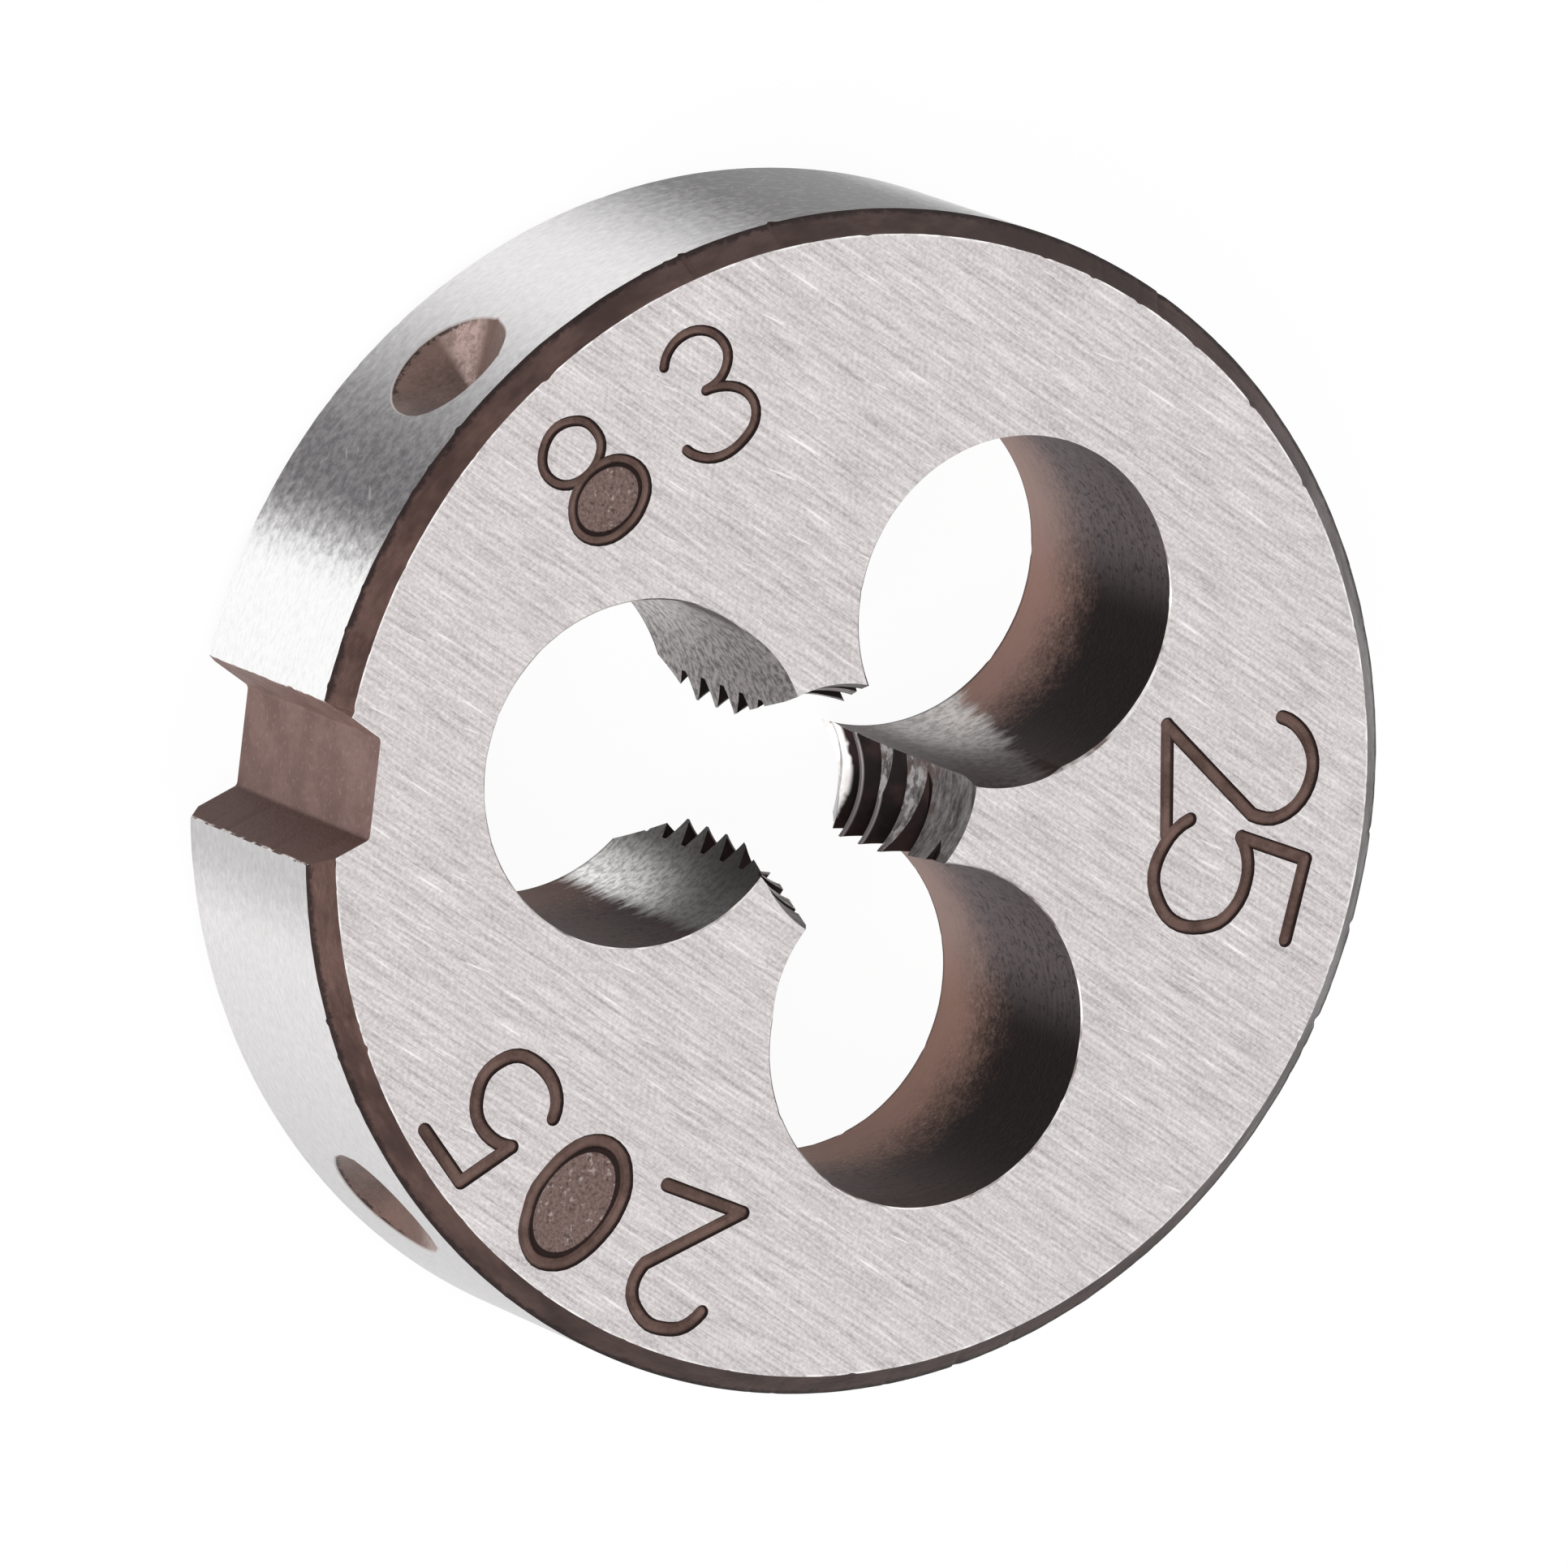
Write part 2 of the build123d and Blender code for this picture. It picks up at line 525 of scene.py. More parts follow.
class Sheet:
    """Lays out the nodes of one material or group, and joins them by their sockets."""

    def __init__(self, tree):
        self.tree = tree

    def feed(self, socket, value):
        """Joins a socket to another, or sets it."""
        if isinstance(value, bpy.types.NodeSocket):
            self.tree.links.new(value, socket)
        else:
            socket.default_value = value

    def node(self, kind, inputs=(), **settings):
        """Adds a node, sets it and feeds its inputs."""
        made = self.tree.nodes.new(kind)
        for name, value in settings.items():
            setattr(made, name, value)
        for name, value in dict(inputs).items():
            self.feed(made.inputs[name], value)
        return made

    def effect(self, tree, inputs):
        """Places a node group and gives its outputs."""
        made = self.node("ShaderNodeGroup", node_tree=tree)
        for name, value in inputs.items():
            self.feed(made.inputs[name], value)
        return made.outputs

    def math(self, operation, *values):
        """One sum, product or the like."""
        made = self.node("ShaderNodeMath", operation=operation)
        for place, value in enumerate(values):
            self.feed(made.inputs[place], value)
        return made.outputs[0]

    def mix(self, share, first, second, blend="MIX"):
        """Blends two colours."""
        made = self.node("ShaderNodeMix", data_type="RGBA", blend_type=blend)
        for place, value in ((0, share), (6, first), (7, second)):
            self.feed(made.inputs[place], value)
        return made.outputs[2]

    def over(self, under, colour, share, strength):
        """Lays a colour over another one, by a share times a strength."""
        return self.mix(self.math("MULTIPLY", share, strength), under, colour)

    def between(self, value, start, end, first=0.0, last=1.0, smooth=True):
        """Runs from first to last while the value goes from start to end."""
        made = self.node(
            "ShaderNodeMapRange",
            {"Value": value, "From Min": start, "From Max": end, "To Min": first, "To Max": last},
            interpolation_type="SMOOTHSTEP" if smooth else "LINEAR",
        )
        return made.outputs["Result"]

    def band(self, value, middle, half, height=1.0):
        """Rises to its height at the middle and is 0 beyond half to either side."""
        off = self.math("ABSOLUTE", self.math("SUBTRACT", value, middle))
        return self.between(off, half, 0.0, 0.0, height)

    def stray(self, value, reach):
        """Turns a noise value into a stray of that reach to both sides of 0."""
        return self.between(value, 0.3, 0.7, -reach, reach, smooth=False)

    def noise(self, vector, scale, detail=2.0, roughness=0.5):
        """Gives noise values about 0.5."""
        made = self.node(
            "ShaderNodeTexNoise",
            {"Vector": vector, "Scale": scale, "Detail": detail, "Roughness": roughness},
            noise_dimensions="3D",
        )
        return made.outputs["Fac"]

    def stretched(self, vector, x, y, z):
        """Scales a vector along each axis."""
        return self.node("ShaderNodeMapping", {"Vector": vector, "Scale": (x, y, z)}).outputs[0]

    def turned(self, vector, angle):
        """Turns a vector about Z, by an angle in radians."""
        return self.node(
            "ShaderNodeVectorRotate", {"Vector": vector, "Angle": angle}, rotation_type="Z_AXIS"
        ).outputs[0]

    def parts(self, vector):
        """Gives a vector's three parts."""
        return self.node("ShaderNodeSeparateXYZ", {"Vector": vector}).outputs

    def off_axis(self, vector):
        """Gives how far a place is from the Z axis."""
        flat = self.stretched(vector, 1, 1, 0)
        return self.node("ShaderNodeVectorMath", {0: flat}, operation="LENGTH").outputs["Value"]


def srgb(red, green, blue):
    """Gives the linear colour of three values from 0 to 255."""
    parts = [value / 255 for value in (red, green, blue)]
    return (*[part / 12.92 if part <= 0.04045 else ((part + 0.055) / 1.055) ** 2.4 for part in parts], 1.0)


soot_black = srgb(34, 27, 27)
painted_shade_black = srgb(38, 28, 26)


def group(name, inputs, outputs):
    """Starts a node group with named sockets, and gives its sheet, its inputs and its output node."""
    tree = bpy.data.node_groups.new(name, "ShaderNodeTree")
    for socket_name, kind, value in inputs:
        socket = tree.interface.new_socket(socket_name, in_out="INPUT", socket_type=kind)
        if value is not None:
            socket.default_value = value
    for socket_name, kind in outputs:
        tree.interface.new_socket(socket_name, in_out="OUTPUT", socket_type=kind)
    sheet = Sheet(tree)
    return sheet, sheet.node("NodeGroupInput").outputs, sheet.node("NodeGroupOutput")


def grinding_group():
    """Grinding lines that run along X, in millimetres, and rare bright scratches."""
    sheet, given, result = group(
        "grinding lines",
        [("Vector", "NodeSocketVector", None), ("Length", "NodeSocketFloat", 3.0)],
        [("Lines", "NodeSocketFloat"), ("Scratches", "NodeSocketFloat")],
    )
    squeeze = sheet.math("DIVIDE", 1.0, given["Length"])
    stretch = sheet.node("ShaderNodeCombineXYZ", {"X": squeeze, "Y": 1.0, "Z": 1.0}).outputs[0]
    along = sheet.node(
        "ShaderNodeVectorMath", {0: given["Vector"], 1: stretch}, operation="MULTIPLY"
    ).outputs[0]
    broad = sheet.noise(along, 2.2, 2.0, 0.6)
    fine = sheet.noise(along, 12.0, 3.0, 0.75)
    lines = sheet.math("MULTIPLY_ADD", broad, 0.12, sheet.math("MULTIPLY", fine, 0.88))
    rare = sheet.noise(along, 12.0, 1.0, 0.5)
    sheet.feed(result.inputs["Lines"], sheet.between(lines, 0.33, 0.67, smooth=False))
    sheet.feed(result.inputs["Scratches"], sheet.between(rare, 0.71, 0.78))
    return sheet.tree


def unrolled_group():
    """Unrolls the surface round an upright axis: arc length, height and radius, in millimetres.
    The join lies in the seam direction, and the turn is 0 opposite to it."""
    sheet, given, result = group(
        "unrolled",
        [
            ("Vector", "NodeSocketVector", None),
            ("Centre", "NodeSocketVector", None),
            ("Seam", "NodeSocketFloat", 0.0),
            ("Radius", "NodeSocketFloat", 1.0),
        ],
        [("Unrolled", "NodeSocketVector"), ("Turn", "NodeSocketFloat")],
    )
    moved = sheet.node(
        "ShaderNodeVectorMath", {0: given["Vector"], 1: given["Centre"]}, operation="SUBTRACT"
    ).outputs[0]
    turned = sheet.turned(moved, sheet.math("SUBTRACT", pi, given["Seam"]))
    parts = sheet.parts(turned)
    turn = sheet.math("ARCTAN2", parts["Y"], parts["X"])
    arc_length = sheet.math("MULTIPLY", turn, given["Radius"])
    unrolled = sheet.node(
        "ShaderNodeCombineXYZ", {"X": arc_length, "Y": parts["Z"], "Z": sheet.off_axis(turned)}
    )
    sheet.feed(result.inputs["Unrolled"], unrolled.outputs[0])
    sheet.feed(result.inputs["Turn"], turn)
    return sheet.tree


def mottle_group():
    """The mottling of hardening scale: a cloud, a grain and dark pits."""
    sheet, given, result = group(
        "mottle",
        [("Vector", "NodeSocketVector", None), ("Fineness", "NodeSocketFloat", 1.0)],
        [("Cloud", "NodeSocketFloat"), ("Grain", "NodeSocketFloat"), ("Pits", "NodeSocketFloat")],
    )
    scaled = sheet.node(
        "ShaderNodeVectorMath", {0: given["Vector"], "Scale": given["Fineness"]}, operation="SCALE"
    ).outputs[0]
    cloud = sheet.noise(scaled, 1.6, 3.0, 0.6)
    grain = sheet.noise(scaled, 13.0, 3.0, 0.7)
    pits = sheet.noise(scaled, 9.0, 1.0, 0.5)
    sheet.feed(result.inputs["Cloud"], sheet.between(cloud, 0.35, 0.65))
    sheet.feed(result.inputs["Grain"], sheet.between(grain, 0.3, 0.7, smooth=False))
    sheet.feed(result.inputs["Pits"], sheet.between(pits, 0.61, 0.68))
    return sheet.tree


def start_material(name, shine=0.5):
    """Gives a material's sheet, its shader and Object coordinates in millimetres."""
    material = bpy.data.materials.new(name)
    material.use_nodes = True
    tree = material.node_tree
    tree.nodes.clear()
    sheet = Sheet(tree)
    shader = sheet.node("ShaderNodeBsdfPrincipled", {"Specular IOR Level": shine})
    sheet.node("ShaderNodeOutputMaterial", {"Surface": shader.outputs[0]})
    place = sheet.node("ShaderNodeTexCoord").outputs["Object"]
    return material, sheet, shader, sheet.stretched(place, 1 / MM, 1 / MM, 1 / MM)


def coat(sheet, shader, tone, metallic, roughness):
    """Gives the surface its colour, its share of bare metal and its roughness."""
    for name, value in (("Base Color", tone), ("Metallic", metallic), ("Roughness", roughness)):
        sheet.feed(shader.inputs[name], value)


def bump(sheet, shader, height, distance):
    """Raises the surface by a height value, over a distance in millimetres."""
    made = sheet.node("ShaderNodeBump", {"Height": height, "Distance": distance * MM}).outputs["Normal"]
    sheet.feed(shader.inputs["Normal"], made)


def round_rim(sheet, unrolled, place):
    """Unrolls the disc about its own axis, with turn 0 opposite the notch."""
    return sheet.effect(unrolled, {"Vector": place, "Seam": radians(notch_angle), "Radius": rim})


def round_thread(sheet, unrolled, place):
    """Unrolls the lands about the thread's axis, with turn 0 at the land opposite the notch."""
    return sheet.effect(
        unrolled,
        {"Vector": place, "Centre": thread_axis, "Seam": radians(hole_angles[0]), "Radius": root},
    )


def ground_face(grinding, unrolled):
    """The faces, ground across in one direction, with a thin bright line along the chamfer's edge, painted
    as a highlight.
    """
    material, sheet, shader, place = start_material("ground_face")
    turned = sheet.turned(place, -radians(face_grind_angle))
    lines = sheet.effect(grinding, {"Vector": turned, "Length": 16.0})
    skew = sheet.turned(place, -radians(face_scratch_angle))
    crossing = sheet.effect(grinding, {"Vector": skew, "Length": 14.0})
    grain = sheet.between(sheet.noise(place, 15.0, 2.0, 0.6), 0.3, 0.7, smooth=False)
    surface = sheet.math("MULTIPLY_ADD", grain, 0.35, sheet.math("MULTIPLY", lines["Lines"], 0.65))
    tone = sheet.mix(surface, srgb(152, 146, 146), srgb(237, 232, 231))
    tone = sheet.over(tone, srgb(242, 239, 238), crossing["Scratches"], 0.6)
    tone = sheet.over(tone, srgb(246, 243, 242), lines["Scratches"], 0.7)
    roll = round_rim(sheet, unrolled, place)
    radius = sheet.parts(roll["Unrolled"])["Z"]
    # Painted highlight: a thin bright line along the face's edge at the chamfer, broken up in patches
    edge_line = sheet.band(radius, rim - front_rim_chamfer, 0.05)
    patchy = sheet.between(sheet.noise(place, 1.8, 3.0, 0.7), 0.42, 0.6)
    tone = sheet.over(tone, srgb(248, 246, 245), edge_line, patchy)
    coat(sheet, shader, tone, 1.0, sheet.between(lines["Lines"], 0, 1, 0.42, 0.34))
    bump(sheet, shader, lines["Lines"], 0.004)
    return material


def ground_rim(grinding, unrolled):
    """The rim, ground round the axis, with light and dark bands and a bright glint painted into its colour
    as the reflections of polished steel.
    """
    material, sheet, shader, place = start_material("ground_rim")
    roll = round_rim(sheet, unrolled, place)
    lines = sheet.effect(grinding, {"Vector": roll["Unrolled"], "Length": 2.2})
    turn = roll["Turn"]
    fuzz = sheet.noise(roll["Unrolled"], 5.0, 3.0, 0.7)
    frayed = sheet.math("ADD", turn, sheet.between(fuzz, 0.2, 0.8, -0.045, 0.045, smooth=False))
    # Each painted dark reflection band's turns, in degrees: start, full, last and end, and then its
    # strength
    dark = 0.0
    for start, full, last, end, height in (
        (72, 91, 101, 121, 1.0),
        (124, 150, 153, 162, 0.88),
        (-170, -122, -118, -73, 0.3),
        (-180, -171, -171, -162, 0.34),
        (-85, -55, -55, -25, 0.5),
        (-9, 25, 25, 59, 0.6),
    ):
        rise = sheet.between(frayed, radians(start), radians(full), 0, height)
        fall = sheet.between(frayed, radians(end), radians(last))
        dark = sheet.math("ADD", dark, sheet.math("MULTIPLY", rise, fall))
    patchy = sheet.between(sheet.noise(place, 6.0, 3.0, 0.7), 0.3, 0.7, 0.91, 1.09)
    dark = sheet.math("MULTIPLY", dark, patchy)
    # Painted reflection: a white glint on the rim just beside the notch, on one side only
    painted_glint = sheet.between(sheet.math("ABSOLUTE", frayed), radians(157), radians(163))
    painted_glint = sheet.math("MULTIPLY", painted_glint, sheet.between(turn, 0, 0.01))
    tone = sheet.mix(dark, srgb(235, 233, 233), srgb(79, 76, 79))
    tone = sheet.mix(painted_glint, tone, srgb(255, 255, 255))
    streaks = sheet.between(lines["Lines"], 0, 1, 0.88, 1.08, smooth=False)
    tone = sheet.node("ShaderNodeVectorMath", {0: tone, "Scale": streaks}, operation="SCALE").outputs[0]
    for slant in (-52, 38):
        slanted = sheet.turned(roll["Unrolled"], radians(slant))
        hairs = sheet.effect(grinding, {"Vector": slanted, "Length": 9.0})
        tone = sheet.over(tone, srgb(225, 223, 224), hairs["Scratches"], 0.22)
    coat(sheet, shader, tone, 1.0, 0.36)
    bump(sheet, shader, lines["Lines"], 0.004)
    return material


def scaled_chamfer(unrolled, mottle):
    """The rim chamfers: brown scale, redder at the notch, greyer opposite, sooty at the outer edge."""
    material, sheet, shader, place = start_material("chamfer_scale", 0.1)
    roll = round_rim(sheet, unrolled, place)
    spots = sheet.effect(mottle, {"Vector": sheet.stretched(roll["Unrolled"], 0.5, 1, 1)})
    toward_notch = sheet.math("ABSOLUTE", roll["Turn"])
    brown = sheet.mix(spots["Cloud"], srgb(68, 50, 46), srgb(98, 75, 69))
    dull = sheet.mix(spots["Cloud"], srgb(54, 44, 42), srgb(74, 60, 57))
    grey = sheet.mix(spots["Cloud"], srgb(100, 95, 95), srgb(134, 130, 131))
    tone = sheet.mix(sheet.between(toward_notch, radians(95), radians(165)), dull, brown)
    tone = sheet.mix(sheet.between(toward_notch, radians(55), radians(10)), tone, grey)
    tone = sheet.over(tone, srgb(60, 48, 46), spots["Grain"], 0.35)
    loose = sheet.stray(sheet.noise(place, 5.0, 3.0, 0.7), 0.04)
    radius = sheet.math("ADD", sheet.parts(roll["Unrolled"])["Z"], loose)
    outer = sheet.between(radius, rim - 0.1, rim - 0.03)
    tone = sheet.over(tone, soot_black, outer, 0.85)
    coat(sheet, shader, tone, 0.3, 0.5)
    bump(sheet, shader, spots["Grain"], 0.006)
    return material


def scaled_notch(mottle):
    """The notch: even brown scale with light specks, with painted shade on the wall beside +X and a
    painted highlight in bright beads along its edges at the rim.
    """
    material, sheet, shader, place = start_material("notch_scale", 0.1)
    spots = sheet.effect(mottle, {"Vector": place})
    tone = sheet.mix(spots["Cloud"], srgb(120, 95, 89), srgb(136, 110, 104))
    tone = sheet.over(tone, srgb(150, 126, 120), spots["Pits"], 0.5)
    tone = sheet.over(tone, srgb(94, 74, 70), spots["Grain"], 0.3)
    # Painted shade: the wall beside +X is darker
    across = sheet.parts(place)["X"]
    wall = sheet.between(across, notch_floor_width / 2 - 0.05, notch_floor_width / 2 + 0.05)
    tone = sheet.mix(wall, tone, srgb(92, 70, 65))
    # Painted highlight: bright beads along the notch's edges at the rim
    beads = sheet.between(sheet.noise(place, 3.0, 3.0, 0.7), 0.42, 0.55)
    pale_share = sheet.math("MULTIPLY", sheet.between(sheet.off_axis(place), rim - 0.06, rim - 0.03), beads)
    tone = sheet.mix(pale_share, tone, srgb(232, 228, 226))
    coat(sheet, shader, tone, 0.2, 0.55)
    bump(sheet, shader, spots["Grain"], 0.008)
    return material


def scaled_dimple(mottle, angle, streak, half, highlight_tone):
    """A dimple: brown scale, with a painted highlight in a streak from its point towards one side and a
    painted lighter flank beside it, a bright edge painted as a highlight, and a ragged dark line inside it
    towards the back."""
    material, sheet, shader, place = start_material("dimple_scale", 0.3)
    spots = sheet.effect(mottle, {"Vector": place})
    parts = sheet.parts(sheet.turned(place, -radians(angle)))
    above = sheet.math("SUBTRACT", parts["Z"], dimple_height)
    turn = sheet.math("ARCTAN2", above, parts["Y"])
    below = sheet.math("SUBTRACT", rim, sheet.off_axis(place))
    facing = sheet.math("COSINE", sheet.math("SUBTRACT", turn, radians(streak)))
    tone = sheet.mix(spots["Cloud"], srgb(84, 64, 58), srgb(104, 82, 75))
    # Painted light: the flank beside the streak is painted lighter
    beside = sheet.math("COSINE", sheet.math("SUBTRACT", turn, radians(streak - 50)))
    painted_lit_flank = sheet.between(beside, 0.2, 0.8)
    tone = sheet.over(tone, srgb(128, 98, 89), painted_lit_flank, 0.6)
    # Painted highlight: a lighter streak from the point towards one side, broken up in patches
    painted_highlight = sheet.between(facing, cos(radians(half)), 1.0)
    patchy = sheet.between(sheet.noise(place, 6.0, 3.0, 0.7), 0.35, 0.6, 0.4, 1.0)
    painted_highlight = sheet.math("MULTIPLY", painted_highlight, patchy)
    tone = sheet.mix(painted_highlight, tone, highlight_tone)
    tone = sheet.over(tone, srgb(134, 114, 109), spots["Grain"], 0.3)
    ragged = sheet.stray(sheet.noise(place, 8.0, 3.0, 0.7), 0.05)
    backwards = sheet.between(sheet.math("SINE", turn), -0.35, -0.75)
    edge_line = sheet.math("MULTIPLY", sheet.between(sheet.math("ADD", below, ragged), 0.07, 0.03), 0.8)
    tone = sheet.over(tone, soot_black, edge_line, backwards)
    # Painted highlight: a bright line along the lip
    edge = sheet.between(below, 0.03, 0.01)
    tone = sheet.over(tone, srgb(206, 200, 198), edge, 0.7)
    coat(sheet, shader, tone, 0.8, 0.34)
    bump(sheet, shader, spots["Grain"], 0.008)
    return material


def struck_mark(mottle):
    """The strokes of the numbers: brown at the bottom, with painted shade darkening their sides."""
    material, sheet, shader, place = start_material("struck_mark", 0.1)
    spots = sheet.effect(mottle, {"Vector": place})
    tone = sheet.mix(spots["Cloud"], srgb(72, 54, 49), srgb(98, 77, 71))
    tone = sheet.over(tone, srgb(118, 98, 92), spots["Grain"], 0.25)
    # Painted shade: the strokes' sides are darkened to near-black
    side = sheet.between(sheet.parts(place)["Z"], thickness - 0.074, thickness - 0.052)
    tone = sheet.mix(side, tone, painted_shade_black)
    coat(sheet, shader, tone, 0.2, 0.5)
    bump(sheet, shader, spots["Grain"], 0.008)
    return material


def broken_scale(mottle):
    """The rough bowls inside struck figures: grainy, with light and dark specks, and painted shade on
    their sides.
    """
    material, sheet, shader, place = start_material("broken_scale", 0.1)
    spots = sheet.effect(mottle, {"Vector": place, "Fineness": 1.2})
    tone = sheet.mix(spots["Grain"], srgb(86, 69, 65), srgb(126, 106, 101))
    light = sheet.between(sheet.noise(place, 7.0, 2.0, 0.7), 0.6, 0.7)
    tone = sheet.over(tone, srgb(190, 180, 177), light, 0.4)
    tone = sheet.over(tone, srgb(50, 38, 37), spots["Pits"], 0.5)
    # Painted shade: the bowl's sides are darkened to near-black
    side = sheet.between(sheet.parts(place)["Z"], thickness - 0.067, thickness - 0.06)
    tone = sheet.mix(side, tone, painted_shade_black)
    coat(sheet, shader, tone, 0.3, 0.55)
    bump(sheet, shader, spots["Grain"], 0.02)
    return material


def hole_wall(hole, unrolled, mottle, deep_brown, ground):
    """A chip hole's wall: brown scale deep down and near-black or grey towards the front, the lighter
    depths, the darker front and the greyer side being painted light and shade, and ground bright on each
    side of the thread.
    Each ground patch has its side, the turn where it starts, how much that falls with height, the turns
    and the height where its painted reflection gets dark, its mottling and its two tones."""
    material, sheet, shader, place = start_material(f"hole_wall_{hole + 1}", 0.0)
    roll = sheet.effect(
        unrolled,
        {
            "Vector": place,
            "Centre": hole_centres[hole],
            "Seam": radians(hole_angles[hole]),
            "Radius": chip_hole_radius,
        },
    )
    turn = roll["Turn"]
    height = sheet.parts(roll["Unrolled"])["Y"]
    spots = sheet.effect(mottle, {"Vector": place})
    # Painted light and shade: from this turn the wall is painted greyer on one side and browner on the
    # other
    painted_light_side = 54.0
    aside = sheet.math("SINE", sheet.math("ADD", turn, radians(hole_angles[hole] + 180 - painted_light_side)))
    grey_share = sheet.between(aside, 0.5, 0.92)
    brown_share = sheet.between(aside, -0.1, -0.85)
    rings = sheet.noise(sheet.stretched(roll["Unrolled"], 0.25, 9.0, 1), 1.3, 3.0, 0.6)
    grain = sheet.math("MULTIPLY_ADD", spots["Grain"], 0.6, sheet.math("MULTIPLY", rings, 0.4))

    # Scale, painted lighter deep down and darker towards the front as light and shade
    deep = sheet.mix(grey_share, deep_brown, srgb(162, 138, 131))
    deep = sheet.over(deep, srgb(112, 90, 83), brown_share, 0.5)
    front = sheet.mix(grey_share, srgb(31, 22, 20), srgb(112, 102, 103))
    front = sheet.mix(brown_share, front, srgb(76, 62, 59))
    climb = sheet.math("ADD", height, sheet.between(spots["Grain"], 0, 1, -0.26, 0.26))
    climb = sheet.math("ADD", climb, sheet.between(spots["Cloud"], 0, 1, -0.12, 0.12))
    climb = sheet.math("MULTIPLY_ADD", grey_share, 0.2, climb)
    scale = sheet.mix(sheet.between(climb, 0.45, 2.75), deep, front)
    soot = sheet.between(sheet.noise(place, 6.5, 3.0, 0.75), 0.46, 0.68)
    speck = sheet.math("MULTIPLY", soot, sheet.between(height, 0.7, 2.4))
    scale = sheet.over(scale, srgb(44, 36, 36), speck, 0.5)
    fleck = sheet.between(sheet.noise(place, 8.0, 2.0, 0.7), 0.6, 0.7)
    fleck = sheet.math("MULTIPLY", fleck, sheet.band(height, 1.3, 1.3, 0.45))
    scale = sheet.mix(fleck, scale, srgb(168, 150, 144))
    ringed = sheet.between(rings, 0.42, 0.62, smooth=False)
    ringed = sheet.math("MULTIPLY", ringed, sheet.between(height, 2.4, 4.2, 0.05, 0.3))
    scale = sheet.mix(ringed, scale, srgb(30, 24, 24))
    pitted = sheet.math("MULTIPLY", spots["Pits"], sheet.between(height, 1.5, 2.6, 0, 0.6))
    scale = sheet.mix(pitted, scale, soot_black)

    # Ground patches: bright steel, whose fading from bright to dim is painted reflection
    tone = scale
    bright_share = 0.0
    grind = sheet.noise(sheet.stretched(roll["Unrolled"], 0.9, 1.0, 1), 7.5, 3.0, 0.7)
    fray = sheet.noise(sheet.stretched(roll["Unrolled"], 0.35, 2.2, 1), 3.0, 3.0, 0.6)
    for side, start, fall, (fade_start, fade_end), depth, mottling, (bright, dim) in ground:
        way = sheet.math("MULTIPLY", turn, side)
        loose = sheet.math("ADD", way, sheet.stray(fray, 0.05))
        loose = sheet.math("ADD", loose, sheet.stray(grind, 0.04))
        edge = sheet.math("SUBTRACT", radians(start), sheet.math("MULTIPLY", height, radians(fall)))
        inside = sheet.between(sheet.math("SUBTRACT", edge, loose), -0.05, 0.08)
        inside = sheet.math("MULTIPLY", inside, sheet.between(way, -0.05, 0.0))
        # Painted reflection: bright near the back and away from the bore, dim towards the front and the
        # bore
        along = sheet.between(way, radians(fade_start), radians(fade_end), 1, 0.15)
        kept = sheet.math("MULTIPLY", along, sheet.between(height, 0.6, depth, 1, 0.15))
        steel = sheet.mix(kept, dim, bright)
        rough = sheet.between(grind, 0.38, 0.58, mottling, 0.0, smooth=False)
        steel = sheet.mix(rough, steel, srgb(52, 47, 46))
        tone = sheet.mix(inside, tone, steel)
        polish = sheet.math("MULTIPLY", inside, sheet.between(kept, 0.0, 0.6))
        bright_share = sheet.math("MAXIMUM", bright_share, polish)
    lip = sheet.between(height, 0.1, 0.02)
    tone = sheet.over(tone, srgb(50, 42, 42), lip, 0.8)
    metallic = sheet.between(bright_share, 0, 1, 0.5, 0.95, smooth=False)
    roughness = sheet.between(bright_share, 0, 1, 0.5, 0.4, smooth=False)
    coat(sheet, shader, tone, metallic, roughness)
    bump(sheet, shader, grain, 0.008)
    return material


def broken_edge(mottle):
    """The broken edges of the chip holes: bare here, scaled there."""
    material, sheet, shader, place = start_material("broken_edge")
    spots = sheet.effect(mottle, {"Vector": place, "Fineness": 0.8})
    tone = sheet.mix(spots["Cloud"], srgb(112, 100, 97), srgb(232, 228, 226))
    coat(sheet, shader, tone, 0.8, 0.4)
    return material


